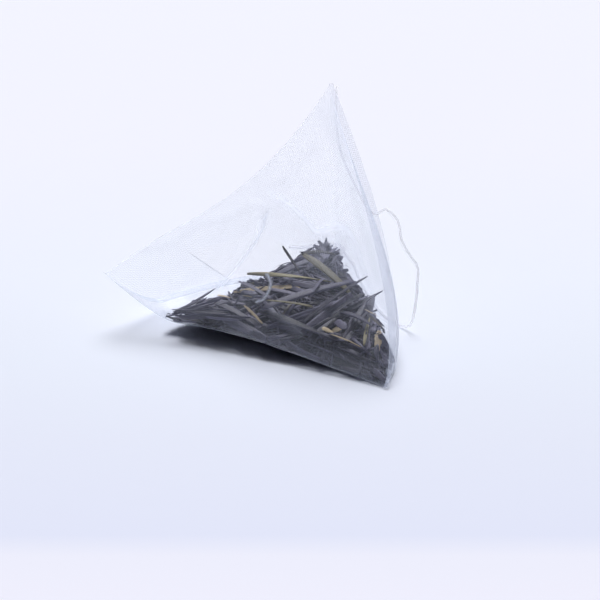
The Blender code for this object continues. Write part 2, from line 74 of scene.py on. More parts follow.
lens = bpy.data.cameras.new("camera")
lens.type = "ORTHO"
lens.ortho_scale = VIEW_WIDTH
lens.clip_end = 20
camera = add_object("camera", lens)
towards = Vector((0, math.cos(TILT), -math.sin(TILT)))
camera.location = VIEW_MIDDLE - towards * CAMERA_AWAY
camera.rotation_euler = towards.to_track_quat("-Z", "Y").to_euler()
bpy.context.scene.camera = camera
bpy.context.scene.view_settings.view_transform = "Standard"
bpy.context.scene.cycles.transparent_max_bounces = 32
print("camera at", tuple(round(value, 3) for value in camera.location))


# %% [markdown]
# Helpers. Each material is a small tree of nodes. A colour is written the way a paint program shows it, from
# 0 to 255, and turned into the linear values that the shader works with.

# %% Material helpers
def paint(red, green, blue):
    """A screen colour, 0 to 255, as linear red, green, blue and alpha."""
    parts = []
    for value in (red, green, blue):
        share = value / 255
        parts.append(share / 12.92 if share <= 0.04045 else ((share + 0.055) / 1.055) ** 2.4)
    return (*parts, 1.0)


class Finish:
    """A new material, with a short way to add and join its nodes."""

    def __init__(self, name):
        self.material = bpy.data.materials.new(name)
        self.material.use_nodes = True
        self.tree = self.material.node_tree
        self.shader = self.tree.nodes["Principled BSDF"]
        self.output = self.tree.nodes["Material Output"]

    def add(self, kind, values=(), **settings):
        node = self.tree.nodes.new(kind)
        for name, value in settings.items():
            setattr(node, name, value)
        for name, value in dict(values).items():
            node.inputs[name].default_value = value
        return node

    def join(self, start, end):
        self.tree.links.new(start, end)

    def ramp(self, source, stops):
        """A colour ramp over source, with stops of (place, colour)."""
        node = self.add("ShaderNodeValToRGB")
        self.join(source, node.inputs["Fac"])
        elements = node.color_ramp.elements
        elements[0].position, elements[0].color = stops[0]
        elements[1].position, elements[1].color = stops[-1]
        for place, colour in stops[1:-1]:
            elements.new(place).color = colour
        return node.outputs["Color"]

    def feed(self, value, socket):
        """Sets a socket to a number, or joins another socket to it."""
        if isinstance(value, (int, float)):
            socket.default_value = value
        else:
            self.join(value, socket)

    def math(self, operation, first, second):
        """A sum of two sockets, or of a socket and a number."""
        node = self.add("ShaderNodeMath", operation=operation)
        self.feed(first, node.inputs[0])
        self.feed(second, node.inputs[1])
        return node.outputs["Value"]

    def rest(self, value):
        """What a socket leaves of 1."""
        return self.math("SUBTRACT", 1.0, value)

    def own(self, name):
        """A value that the mesh itself carries."""
        return self.add("ShaderNodeAttribute", attribute_name=name).outputs["Fac"]

    def mix(self, first, second, share):
        """A mix of two shaders. The share is the second one's."""
        node = self.add("ShaderNodeMixShader")
        self.feed(share, node.inputs["Fac"])
        self.join(first, node.inputs[1])
        self.join(second, node.inputs[2])
        return node.outputs["Shader"]


# %% [markdown]
# The stage is one wide sheet of pale paper. It could be a curved backdrop, but the camera looks down and sees
# no horizon, so a flat floor is enough. A ramp paints light falloff into its colour: a darker, cooler white
# near the camera and a lighter one behind.

# %% Stage
FLOOR_SIDE = 6.0
FLOOR_NEAR = -0.130
FLOOR_FAR = 0.154

bpy.ops.object.select_all(action="DESELECT")
bpy.ops.mesh.primitive_plane_add(size=FLOOR_SIDE, location=(0, 0, 0))
floor = bpy.context.object
floor.name = "floor"
sheet = Finish("floor_paper")
place = sheet.add("ShaderNodeTexCoord")
split = sheet.add("ShaderNodeSeparateXYZ")
sheet.join(place.outputs["Object"], split.inputs["Vector"])
spread = sheet.add("ShaderNodeMapRange", {"From Min": FLOOR_NEAR, "From Max": FLOOR_FAR})
sheet.join(split.outputs["Y"], spread.inputs["Value"])
# Painted light falloff: the floor's colour is darker near the camera and lighter behind.
tone = sheet.ramp(
    spread.outputs["Result"],
    (
        (0.0, paint(240, 239, 252)),
        (0.075, paint(238, 238, 251)),
        (0.11, paint(227, 230, 248)),
        (0.27, paint(230, 233, 248)),
        (0.40, paint(233, 237, 250)),
        (0.54, paint(238, 241, 253)),
        (0.75, paint(243, 243, 254)),
        (1.0, paint(244, 244, 254)),
    ),
)
sheet.join(tone, sheet.shader.inputs["Base Color"])
sheet.shader.inputs["Roughness"].default_value = 0.9
sheet.shader.inputs["Specular IOR Level"].default_value = 0.1
floor.data.materials.append(sheet.material)
print("floor:", FLOOR_SIDE, "m wide")

# %% [markdown]
# The studio light is broad and soft. An even sky would be simplest, but it also lights the floor under the
# bag. So a wide lamp, from above and a little behind, softens the shadow's edge, and a sky that is bright
# only on that side fills the rest.

# %% Light
LAMP_WIDTH = math.radians(32)
LAMP_STRENGTH = 3.42
LAMP_FROM = Vector((0.06, 0.52, 0.85))
BRIGHT_WAY = Vector((0.0, 0.6, 0.8))
SKY = ((0.72, 0.003), (0.80, 0.10), (0.90, 0.8), (1.0, 1.0))
SKY_STRENGTH = 0.24
SKY_TINT = (0.97, 0.98, 1.0)
LAMP_TINT = (0.98, 0.99, 1.0)

world = bpy.data.worlds.new("studio")
world.use_nodes = True
nodes, links = world.node_tree.nodes, world.node_tree.links
way = nodes.new("ShaderNodeTexCoord")
facing = nodes.new("ShaderNodeVectorMath")
facing.operation = "DOT_PRODUCT"
facing.inputs[1].default_value = BRIGHT_WAY
links.new(way.outputs["Generated"], facing.inputs[0])
height = nodes.new("ShaderNodeMapRange")
height.inputs["From Min"].default_value = -1.0
links.new(facing.outputs["Value"], height.inputs["Value"])
glow = nodes.new("ShaderNodeValToRGB")
links.new(height.outputs["Result"], glow.inputs["Fac"])
elements = glow.color_ramp.elements
elements[0].position, elements[1].position = SKY[0][0], SKY[-1][0]
for place, _ in SKY[1:-1]:
    elements.new(place)
for element, (_, level) in zip(elements, SKY):
    element.color = (*(level * part for part in SKY_TINT), 1.0)
links.new(glow.outputs["Color"], nodes["Background"].inputs["Color"])
nodes["Background"].inputs["Strength"].default_value = SKY_STRENGTH
bpy.context.scene.world = world

lamp_data = bpy.data.lights.new("softbox", "SUN")
lamp_data.angle = LAMP_WIDTH
lamp_data.energy = LAMP_STRENGTH
lamp_data.color = LAMP_TINT
lamp = add_object("softbox", lamp_data)
lamp.location = LAMP_FROM
lamp.rotation_euler = (-LAMP_FROM).to_track_quat("-Z", "Y").to_euler()
print("lamp:", LAMP_STRENGTH, "and sky:", SKY_STRENGTH)

# %% [markdown]
# The thread is a limp cotton cord. A tube could be modelled, but a curve of one spline is easier to lay and
# to measure. It is welded in at the apex, hangs down behind the right side with one loose loop, is wound
# into a small coil behind the bag and ends at the paper tag. All but the loop is guessed.

# %% Thread
THREAD = 0.5
THREAD_ROUTE = (
    (18.0, 7.3, 49.3), (17.9, 9.5, 45.5), (17.8, 12.2, 40.0), (18.4, 14.4, 33.5), (19.6, 13.6, 29.5),
    (21.8, 9.6, 26.2), (23.9, 5.2, 23.9), (25.4, 3.2, 23.2), (26.6, 2.8, 23.8), (27.8, 2.6, 24.6),
    (30.2, 2.0, 22.2), (30.9, 1.4, 18.4), (32.5, 0.7, 15.4), (34.1, -0.2, 13.2), (34.1, -1.4, 9.8),
    (33.7, -2.4, 5.8), (33.0, -2.6, 2.2), (31.6, -1.6, 0.5), (29.0, 1.4, 0.27), (26.4, 6.8, 0.27),
    (24.2, 14.3, 0.27), (22.4, 21.8, 0.27), (21.4, 28.3, 0.27), (20.3, 31.6, 0.27),
)
TAIL_ROUTE = (
    (15.0, 38.1, 0.7), (13.0, 37.5, 0.35), (11.4, 36.9, 0.27), (9.9, 37.2, 0.27), (8.5, 37.1, 0.27),
)
COIL_CENTRE = (16.5, 34.5)
COIL_RADIUS = 2.75
COIL_TURNS = 3.19
COIL_POINTS = 14
COIL_LIFT = 0.28
COIL_FLAT_TURNS = 2.0
COIL_CLIMB = 1.5
THREAD_STEP = 1.1
DENSE_POINTS = 24


def smooth_route(route, step):
    """Points at even steps along a smooth curve through the route's own points."""
    points = [Vector(point) for point in route]
    before = [points[0] * 2 - points[1], *points, points[-1] * 2 - points[-2]]
    dense = []
    for number in range(1, len(before) - 2):
        start, end = before[number], before[number + 1]
        lead = start + (end - before[number - 1]) / 6
        trail = end - (before[number + 2] - start) / 6
        dense += interpolate_bezier(start, lead, trail, end, DENSE_POINTS)[:-1]
    dense.append(points[-1])
    run = np.cumsum([0.0] + [(b - a).length for a, b in zip(dense, dense[1:])])
    wanted = np.linspace(0, run[-1], max(2, round(run[-1] / step)) + 1)
    columns = [np.interp(wanted, run, [point[axis] for point in dense]) for axis in range(3)]
    return [Vector(point) for point in zip(*columns)]


def coil_points():
    """The turns of the coil: two side by side, and then the rest on top of them."""
    points = []
    for number in range(round(COIL_TURNS * COIL_POINTS) + 1):
        turn = number / COIL_POINTS
        angle = 2 * math.pi * turn
        wave = math.pi * (min(turn, COIL_FLAT_TURNS) - max(0.0, turn - COIL_FLAT_TURNS))
        radius = COIL_RADIUS + THREAD / 2 * math.cos(wave)
        height = COIL_LIFT + THREAD * max(0.0, min(1.0, (turn - COIL_CLIMB) * 2))
        around = Vector((radius * math.cos(angle), radius * math.sin(angle), height))
        points.append(Vector((*COIL_CENTRE, 0.0)) + around)
    return points


route = smooth_route((*THREAD_ROUTE, *coil_points(), *TAIL_ROUTE), THREAD_STEP)
curve = bpy.data.curves.new("cotton_thread", "CURVE")
curve.dimensions = "3D"
curve.bevel_depth = THREAD / 2 * MM
curve.bevel_resolution = 2
curve.use_fill_caps = True
spline = curve.splines.new("POLY")
spline.points.add(len(route) - 1)
for target, point in zip(spline.points, route):
    target.co = (*(point * MM), 1.0)
thread = add_object("cotton_thread", curve)

# %% [markdown]
# The pouch is one sheet of woven mesh. Every place on it belongs to shares of its four corners, so one
# formula gives the whole form: a flat-sided tetrahedron, bowed along its edges, swollen by the filling,
# sagged at the base and creased where the sheet was pinched. The solid uses the same formula with fewer
# rows. A finer net and softer edges give the sheet its hang.

# %% Pouch form
APEX = Vector((16.4, 7.1, 50.1))
LEFT = Vector((-28.6, -0.6, 12.0))
FRONT = Vector((27.4, -29.9, 0.3))
BACK = Vector((18.2, 28.5, 0.3))
CORNERS = {"apex": APEX, "left": LEFT, "front": FRONT, "back": BACK}
FACES = {
    "front": ("apex", "left", "front"),
    "right": ("apex", "front", "back"),
    "back": ("apex", "left", "back"),
    "base": ("left", "front", "back"),
}
CURL_START = 0.74
CURL_POWER = 1.5
EDGE_BOWS = {
    "apex_left": (Vector((-0.8, -0.2, -5.7)), Vector((-1.0, 0.0, -5.9))),
    "apex_front": (Vector((3.7, -0.2, -2.4)), Vector((-2.1, 0.0, 2.8))),
    "apex_back": (Vector((-0.6, -1.8, -0.4)), Vector((0.0, 0.0, 0.0))),
    "left_front": (Vector((0.0, 2.5, 3.4)), Vector((0.0, 0.4, 2.4))),
    "left_back": (Vector((0.0, -0.8, 2.4)), Vector((0.0, 0.0, 1.2))),
    "front_back": (Vector((3.3, 0.0, 0.9)), Vector((5.6, 0.0, 0.4))),
}
SWELLS = {"front": 1.6, "right": 3.0, "back": 1.4, "base": 0.0}
SAG_BASE = 5.0
# A product of two shares is 1/4 at most and one of three is 1/27. These bring it to 1.
EDGE_PEAK = 4
SIDE_PEAK = 27
# Each fold: its side, height, half width, crowding, and its line as shares of the side's corners. The
# crowding is partly real crowding of threads in the crease and partly painted shade and highlight along it. A
# fold of height 0 has no crease and is painted light only.
FOLDS = (
    ("back", -1.3, 1.1, 0.2, (
        (0.44, 0.285, 0.275), (0.35, 0.3, 0.35), (0.26, 0.34, 0.4), (0.17, 0.395, 0.435),
        (0.075, 0.47, 0.455), (0.02, 0.52, 0.46),
    )),
    ("front", -0.7, 0.8, 0.16, (
        (0.12, 0.68, 0.2), (0.176, 0.607, 0.217), (0.209, 0.558, 0.233), (0.232, 0.529, 0.239),
    )),
    ("front", -0.6, 0.9, 0.07, (
        (0.158, 0.836, 0.006), (0.204, 0.772, 0.024), (0.259, 0.702, 0.039), (0.328, 0.64, 0.032),
        (0.393, 0.578, 0.029), (0.446, 0.502, 0.051), (0.501, 0.434, 0.065), (0.565, 0.364, 0.071),
        (0.576, 0.316, 0.108),
    )),
    ("front", 0.0, 2.4, 0.1, (
        (0.366, 0.279, 0.355), (0.423, 0.204, 0.373),
    )),
    # Painted highlight: this fold's crowding paints the dimple's thin bright curve.
    ("front", -0.4, 0.26, 0.9, (
        (0.32, 0.37, 0.31), (0.287, 0.364, 0.349), (0.255, 0.375, 0.37), (0.226, 0.39, 0.384),
        (0.198, 0.409, 0.393), (0.182, 0.432, 0.386),
    )),
    ("front", -0.5, 2.6, 0.11, (
        (0.28, 0.43, 0.29), (0.24, 0.45, 0.31), (0.21, 0.45, 0.34),
    )),
    ("front", -0.5, 0.7, 0.16, (
        (0.161, 0.389, 0.45), (0.127, 0.347, 0.526), (0.094, 0.296, 0.61),
    )),
    ("front", 0.5, 0.7, 0.14, (
        (0.67, 0.02, 0.31), (0.6, 0.02, 0.38), (0.52, 0.018, 0.462), (0.439, 0.012, 0.549),
        (0.39, 0.01, 0.6),
    )),
    ("front", 0.0, 1.6, 0.14, (
        (0.92, 0.03, 0.05), (0.85, 0.02, 0.13), (0.77, 0.01, 0.22), (0.7, 0.0, 0.3),
    )),
    ("front", 0.4, 1.4, 0.05, (
        (0.62, 0.3, 0.08), (0.7, 0.19, 0.11), (0.8, 0.09, 0.11),
    )),
    ("front", 0.0, 3.0, 0.16, (
        (0.5, 0.14, 0.36), (0.4, 0.15, 0.45),
    )),
    ("front", 0.0, 3.5, 0.08, (
        (0.028, 0.735, 0.237), (0.081, 0.654, 0.265), (0.163, 0.497, 0.34),
    )),
    ("front", 0.0, 2.6, 0.15, (
        (0.02, 0.55, 0.43), (0.03, 0.3, 0.67), (0.04, 0.08, 0.88),
    )),
)
DENT_EDGE = (
    (0.63, 0.25, 0.12), (0.611, 0.222, 0.167), (0.568, 0.186, 0.246), (0.527, 0.167, 0.306),
    (0.559, 0.10, 0.341), (0.552, 0.068, 0.38), (0.528, 0.06, 0.412), (0.499, 0.051, 0.45),
    (0.448, 0.051, 0.501), (0.395, 0.044, 0.561), (0.345, 0.035, 0.62), (0.28, 0.04, 0.68),
)
DENT_DEPTH = 1.6
DENT_STEP = 0.5
DENT_FADE = 9.0
DENT_LINE = (0.55, 0.17)
DENT_SHADE = (2.6, 0.14)
DENT_RIM = (9, 0.15)
EXPONENT_LIMIT = 50.0


def face_normal(face):
    """The outward normal of a flat side of the tetrahedron."""
    first, second, third = (CORNERS[corner] for corner in FACES[face])
    normal = (second - first).cross(third - first).normalized()
    middle = (APEX + LEFT + FRONT + BACK) / 4
    return normal if normal.dot(first - middle) > 0 else -normal


NORMALS = {face: face_normal(face) for face in FACES}


def curled_share(left, apex):
    """The left corner's share in the height: it curls up late along the base, and evenly below the apex."""
    upper = left + apex
    if upper <= CURL_START:
        return 0.0
    curl = ((upper - CURL_START) / (1 - CURL_START)) ** CURL_POWER
    return left / upper * curl


def nearest_on(point, route):
    """The distance from a point to a line of points, and the way from the line to the point."""
    best = math.inf
    away = run = None
    for start, end in zip(route, route[1:]):
        step = end - start
        along = max(0.0, min(1.0, (point - start).dot(step) / step.length_squared))
        gap = point - start - along * step
        if gap.length < best:
            best, away, run = gap.length, gap, step
    return best, away, run


def flat_point(shares):
    """The place of these shares on the flat-sided tetrahedron."""
    return sum((shares[corner] * CORNERS[corner] for corner in CORNERS), Vector())


def face_route(face, rows):
    """A line on a flat side, from rows of shares of its corners."""
    names = FACES[face]
    return [sum((share * CORNERS[name] for name, share in zip(names, row)), Vector()) for row in rows]


FOLD_ROUTES = [
    (face, height, half, crowd_and_painted_light, face_route(face, rows)) for face, height, half, crowd_and_painted_light, rows in FOLDS
]
DENT_ROUTE = face_route("front", DENT_EDGE)


def dent(flat):
    """How far the front is pushed in, and how crowded its threads are there, partly real and partly a painted
    shade line along its edge with painted shade inside it.

    It is a sharp step along the dent's edge, and fades away from it below.
    """
    distance, away, run = nearest_on(flat, DENT_ROUTE)
    side = away.dot(run.cross(NORMALS["front"]).normalized())
    steepness = max(-EXPONENT_LIMIT, min(EXPONENT_LIMIT, -side / (DENT_STEP / 2)))
    inner = 1 / (1 + math.exp(steepness))
    # Painted shade: a dark line along the dent's edge, and shade inside it that fades away.
    line = DENT_LINE[1] * math.exp(-(distance / DENT_LINE[0]) ** 2)
    shade = DENT_SHADE[1] * inner * math.exp(-distance / DENT_SHADE[0])
    return -DENT_DEPTH * inner * math.exp(-distance / DENT_FADE), line + shade


def pouch_point(shares):
    """The place on the pouch that belongs to these shares, in mm, and how crowded its threads are, partly
    real and partly painted shade and highlight along the folds.
    """
    flat = flat_point(shares)
    point = flat.copy()
    point.z += LEFT.z * (curled_share(shares["left"], shares["apex"]) - shares["left"])
    for edge, (bow, skew) in EDGE_BOWS.items():
        first, second = (shares[corner] for corner in edge.split("_"))
        point += EDGE_PEAK * first * second * (bow + (first - second) * skew)
    for face, corners in FACES.items():
        product = SIDE_PEAK * math.prod(shares[corner] for corner in corners)
        point += product * SWELLS[face] * NORMALS[face]
    point.z -= SIDE_PEAK * shares["left"] * shares["front"] * shares["back"] * SAG_BASE
    crowding_and_painted_light = 0.0
    for face, height, half_width, crowd_and_painted_light, line in FOLD_ROUTES:
        if min(shares[corner] for corner in FACES[face]) > 0:
            reach = nearest_on(flat, line)[0] / half_width
            near = math.exp(-reach * reach)
            point += height * near * NORMALS[face]
            crowding_and_painted_light += crowd_and_painted_light * near
    if shares["back"] == 0:
        rim = min(1.0, DENT_RIM[0] * min(shares["left"], shares["front"], shares["apex"]) + DENT_RIM[1])
        push, crowd_and_painted_light = dent(flat)
        point += push * rim * NORMALS["front"]
        crowding_and_painted_light += crowd_and_painted_light * rim
    point.z = max(point.z, 0.0)
    return point, crowding_and_painted_light


# %% [markdown]
# The real pouch is a folded strip of mesh, welded shut along two crosswise edges. Cloth physics could fold
# it, but its corners wouldn't land where the solid's are. So a tetrahedron is cut into small triangles, the
# formula above moves each to its place, and the sheet is run on past its welds as two narrow fins.

# %% Pouch mesh
SHEET_ROWS = 150
SOFTENINGS = 5
FIN_WIDTH = 2.4
FIN_STEPS = 3
FIN_GAP = 0.12
FIN_NARROW = 0.35
FIN_FLOOR = 0.25
SOFT_ABOVE = 0.3
SOFTENING = 0.5
NO_SHARE = 1e-5
UNDER_SHARE = 1e-4
WELD_SHARE = 0.9999
WELDS = {
    ("apex", "front"): Vector((0.93, -0.22, 0.29)).normalized(),
    ("left", "back"): Vector((-0.50, 0.86, 0.04)).normalized(),
}


def shares_of(place, corners):
    """The shares of the corners at a place in a tetrahedron whose corners are given in order."""
    last = corners[-1]
    turn = Matrix([corner - last for corner in corners[:-1]]).transposed()
    found = turn.inverted() @ (place - last)
    shares = [max(0.0, share) for share in (*found, 1 - sum(found))]
    return [0.0 if share < NO_SHARE else share / sum(shares) for share in shares]


def weld_of(shares):
    """The welded edge that a place lies on, or None."""
    for ends in WELDS:
        if sum(shares[corner] for corner in ends) > WELD_SHARE:
            return ends
    return None


def divided_tetrahedron():
    """A cone with three sides is a tetrahedron. It is cut into many small triangles."""
    bpy.ops.object.select_all(action="DESELECT")
    bpy.ops.mesh.primitive_cone_add(vertices=3, radius1=1.0, depth=1.5)
    pouch = bpy.context.object
    pouch.name = "sheer_pouch"
    shape = bmesh.new()
    shape.from_mesh(pouch.data)
    shape.loops.layers.uv.verify()
    shape.verts.layers.float.new("weld")
    shape.verts.layers.float.new("crowding_and_painted_light")
    shape.verts.layers.float.new("under")
    bmesh.ops.triangulate(shape, faces=shape.faces)
    top = max(shape.verts, key=lambda vert: vert.co.z).co.copy()
    ring = [vert.co.copy() for vert in shape.verts if vert.co.z < 0]
    ring.sort(key=lambda co: math.atan2(co.y, co.x))
    bmesh.ops.subdivide_edges(shape, edges=shape.edges, cuts=SHEET_ROWS - 1, use_grid_fill=True)
    names = ("apex", "left", "front", "back")
    shares = {vert: dict(zip(names, shares_of(vert.co, [top, *ring]))) for vert in shape.verts}
    return pouch, shape, shares


def side_of(face, shares):
    """The side of the pouch that a small triangle belongs to."""
    totals = {corner: sum(shares[vert][corner] for vert in face.verts) for corner in CORNERS}
    missing = min(totals, key=totals.get)
    return next(side for side, corners in FACES.items() if missing not in corners)


def run_on(shape, uv, weld, row, outward, lift, width_at):
    """Runs one sheet on past its weld, a few steps outwards, and goes on with its weave."""
    widths = {vert: width_at(vert) for edge in row for vert in edge.verts}
    for step in range(FIN_STEPS):
        old_uv = {}
        for edge in row:
            for loop in edge.link_faces[0].loops:
                if loop.vert in edge.verts:
                    old_uv[loop.vert] = loop[uv].uv.copy()
        made = bmesh.ops.extrude_edge_only(shape, edges=row)["geom"]
        fresh = {item for item in made if isinstance(item, bmesh.types.BMVert)}
        grown = {}
        for vert in fresh:
            others = [edge.other_vert(vert) for edge in vert.link_edges]
            root = next(other for other in others if other not in fresh)
            width = widths[vert] = widths[root]
            grown[vert] = old_uv[root] + Vector((0, width / FIN_STEPS))
            vert.co += (outward * width / FIN_STEPS + (lift if step == 0 else Vector())) * MM
            vert.co.z = max(vert.co.z, FIN_FLOOR * MM)
            vert[weld] = 1.0
        for face in {face for vert in fresh for face in vert.link_faces}:
            for loop in face.loops:
                loop[uv].uv = grown.get(loop.vert) or old_uv[loop.vert]
        row = [item for item in made if isinstance(item, bmesh.types.BMEdge) and fresh.issuperset(item.verts)]


def build_pouch():
    """The pouch as a mesh, and a tree that finds the nearest place on it."""
    pouch, shape, shares = divided_tetrahedron()
    uv = shape.loops.layers.uv.active
    weld = shape.verts.layers.float["weld"]
    sides = {face: side_of(face, shares) for face in shape.faces}
    for face, side in sides.items():
        ends = next(ends for ends in WELDS if set(ends) <= set(FACES[side]))
        start, end = (CORNERS[corner] for corner in ends)
        along = (end - start).normalized()
        across = NORMALS[side].cross(along)
        for loop in face.loops:
            away = flat_point(shares[loop.vert]) - start
            loop[uv].uv = (away.dot(along), away.dot(across))
    crowding_and_painted_light = shape.verts.layers.float["crowding_and_painted_light"]
    under = shape.verts.layers.float["under"]
    for vert in shape.verts:
        vert[under] = 1.0 if shares[vert]["apex"] < UNDER_SHARE else 0.0
        place, vert[crowding_and_painted_light] = pouch_point(shares[vert])
        vert.co = place * MM
    soft = [vert for vert in shape.verts if vert.co.z > SOFT_ABOVE * MM and not weld_of(shares[vert])]
    axes = {"use_axis_x": True, "use_axis_y": True, "use_axis_z": True}
    for _ in range(SOFTENINGS):
        bmesh.ops.smooth_vert(shape, verts=soft, factor=SOFTENING, **axes)
    bmesh.ops.recalc_face_normals(shape, faces=shape.faces)
    tree = BVHTree.FromBMesh(shape)
    for ends, outward in WELDS.items():
        welded = {vert for vert, own in shares.items() if vert.is_valid and weld_of(own) == ends}
        seam = [edge for edge in shape.edges if welded.issuperset(edge.verts)]
        length = (CORNERS[ends[1]] - CORNERS[ends[0]]).normalized()
        lift = length.cross(outward).normalized() * FIN_GAP / 2
        bmesh.ops.split_edges(shape, edges=seam)
        open_edges = [edge for edge in shape.edges if edge.is_boundary and edge.link_faces[0] in sides]
        start, end = (CORNERS[corner] * MM for corner in ends)

        def width_at(vert):
            along = max(0.0, min(1.0, (vert.co - start).dot(end - start) / (end - start).length_squared))
            return FIN_WIDTH * (FIN_NARROW + (1 - FIN_NARROW) * math.sin(math.pi * along))

        rows = {}
        for edge in open_edges:
            if set(ends) <= set(FACES[sides[edge.link_faces[0]]]):
                rows.setdefault(sides[edge.link_faces[0]], []).append(edge)
        for row in rows.values():
            centres = [face.calc_center_median() for edge in row for face in edge.link_faces]
            places = [vert.co for edge in row for vert in edge.verts]
            inwards = sum(centres, Vector()) / len(row) - sum(places, Vector()) / len(row) / 2
            own_lift = lift if inwards.dot(lift) > 0 else -lift
            run_on(shape, uv, weld, row, outward, own_lift, width_at)
    for face in shape.faces:
        face.smooth = True
    shape.to_mesh(pouch.data)
    shape.free()
    pouch.location = (0, 0, 0)
    return pouch, tree


pouch, pouch_tree = build_pouch()
print("pouch:", len(pouch.data.polygons), "faces")

# %% [markdown]
# The mesh is woven from fine clear threads. The photograph is too coarse to count them, so their pitch was
# picked. Each thread could be modelled, but that takes millions of faces. Most of the mesh is holes, so the
# shader is mostly transparent, with a little white where the threads are.
#
# PAINTED_GLOW is a painted glow: a faint light of the mesh's own, which no real mesh has. It was added
# because the film and the tea came out darker than in the photograph. The underside has none, as it would
# light the floor.

# %% Mesh finish
WEAVE_PITCH = 0.36
THREAD_COVER = 0.085
FILM_COVER = 0.055
WELD_COVER = 0.06
PAINTED_GLOW = 0.2
FOLD_BLUR = 4.0
LEAST_SLANT = 0.06
THROUGH_SHARE = 0.75
SHINE_SHARE = 0.12


def mesh_finish(name):
    """Mostly holes: light passes as if the mesh were a grid of thin white threads."""
    finish = Finish(name)
    coords = finish.add("ShaderNodeUVMap")
    split_uv = finish.add("ShaderNodeSeparateXYZ")
    finish.join(coords.outputs["UV"], split_uv.inputs["Vector"])
    # Crowding is partly real and partly painted shade and highlight along folds: it adds cover, grey over the
    # floor and light over the tea.
    fold_crowding_and_painted_light = finish.own("crowding_and_painted_light")
    blurred = finish.math("MINIMUM", finish.math("MULTIPLY", fold_crowding_and_painted_light, FOLD_BLUR), 1.0)
    woven = finish.math("MULTIPLY", finish.rest(blurred), THREAD_COVER)
    passed = 1 - FILM_COVER
    for axis in ("X", "Y"):
        turns = finish.math("MULTIPLY", split_uv.outputs[axis], 2 * math.pi / WEAVE_PITCH)
        wave = finish.math("SINE", turns, 0.0)
        bright = finish.math("MULTIPLY", finish.math("ADD", wave, 1.0), 0.5)
        covered = finish.math("MULTIPLY", finish.math("POWER", bright, 2.0), woven)
        passed = finish.math("MULTIPLY", finish.rest(covered), passed)
    welded = finish.own("weld")
    closed = finish.rest(finish.math("MULTIPLY", welded, WELD_COVER))
    passed = finish.math("MULTIPLY", passed, closed)
    passed = finish.math("MULTIPLY", passed, finish.rest(fold_crowding_and_painted_light))
    angle = finish.add("ShaderNodeLayerWeight", {"Blend": 0.5})
    straight = finish.math("MAXIMUM", finish.rest(angle.outputs["Facing"]), LEAST_SLANT)
    slant = finish.math("DIVIDE", 1.0, straight)
    cover = finish.rest(finish.math("POWER", passed, slant))
    clear = finish.add("ShaderNodeBsdfTransparent", {"Color": (1, 1, 1, 1)})
    lit = finish.add("ShaderNodeBsdfDiffuse", {"Color": paint(238, 245, 255)})
    through = finish.add("ShaderNodeBsdfTranslucent", {"Color": paint(229, 234, 247)})
    shine = finish.add("ShaderNodeBsdfGlossy", {"Color": (1, 1, 1, 1), "Roughness": 0.35})
    body = finish.mix(lit.outputs["BSDF"], through.outputs["BSDF"], THROUGH_SHARE)
    surface = finish.mix(body, shine.outputs["BSDF"], SHINE_SHARE)
    shaded = finish.own("under")
    open_side = finish.rest(shaded)
    # Painted glow: the mesh gives off a faint light of its own, except on its underside.
    painted_glow_node = finish.add("ShaderNodeEmission", {"Color": paint(222, 230, 255)})
    finish.join(finish.math("MULTIPLY", open_side, PAINTED_GLOW), painted_glow_node.inputs["Strength"])
    bright = finish.add("ShaderNodeAddShader")
    finish.join(surface, bright.inputs[0])
    finish.join(painted_glow_node.outputs["Emission"], bright.inputs[1])
    whole = finish.mix(clear.outputs["BSDF"], bright.outputs["Shader"], cover)
    finish.join(whole, finish.output.inputs["Surface"])
    finish.tree.nodes.remove(finish.shader)
    return finish.material


pouch.data.materials.clear()
pouch.data.materials.append(mesh_finish("sheer_mesh"))

# %% [markdown]
# The filling is dry needle tea: leaves rolled lengthwise, nearly black, with some olive ones and straw
# coloured bits. One needle is modelled as by hand and the rest are copies of it, each stretched, bent and
# turned. A leaf that has a solid of its own follows that solid's line.

# %% One needle leaf
SIDES = 8
CUTS = 9
END_ROUNDING = 3.5
GROOVE_NARROW = 4


def model_needle(name, flatness, twist, ends, groove, torn=0.0):
    """A rolled leaf one unit long and one wide.

    It is a flattened cylinder, cut in rings. Its ends are drawn in, its top is pressed into a groove,
    and the rings are turned about its length. A torn one has ragged sides.
    """
    bpy.ops.object.select_all(action="DESELECT")
    bpy.ops.mesh.primitive_cylinder_add(vertices=SIDES, radius=0.5, depth=1.0, rotation=(0, math.pi / 2, 0))
    leaf = bpy.context.object
    leaf.name = name
    bpy.ops.object.transform_apply(location=True, rotation=True, scale=True)
    bpy.ops.object.mode_set(mode="EDIT")
    bpy.ops.mesh.select_mode(type="EDGE")
    bpy.ops.mesh.select_all(action="DESELECT")
    shape = bmesh.from_edit_mesh(leaf.data)
    for edge in shape.edges:
        edge.select = abs(edge.verts[0].co.x - edge.verts[1].co.x) > 0.5
    bmesh.update_edit_mesh(leaf.data)
    bpy.ops.mesh.subdivide(number_cuts=CUTS)
    shape = bmesh.from_edit_mesh(leaf.data)
    draw = random.Random(name)
    rags = {(ring, side): draw.uniform(-torn, torn) for ring in range(CUTS + 2) for side in (-1, 1)}
    for vert in shape.verts:
        along = vert.co.x + 0.5
        full = 1 - (1 - ends) * abs(2 * along - 1) ** END_ROUNDING
        pressed = 1 - groove * math.exp(-(vert.co.y * GROOVE_NARROW) ** 2) * (vert.co.z > 0)
        rag = rags[round(along * (CUTS + 1)), 1 if vert.co.y > 0 else -1]
        roll = Matrix.Rotation(twist * (along - 0.5), 3, "X")
        section = roll @ Vector((0.0, vert.co.y * (full + rag), vert.co.z * full * flatness * pressed))
        vert.co = Vector((vert.co.x, section.y, section.z))
    bmesh.update_edit_mesh(leaf.data)
    bpy.ops.object.mode_set(mode="OBJECT")
    leaf.data.shade_smooth()
    return leaf


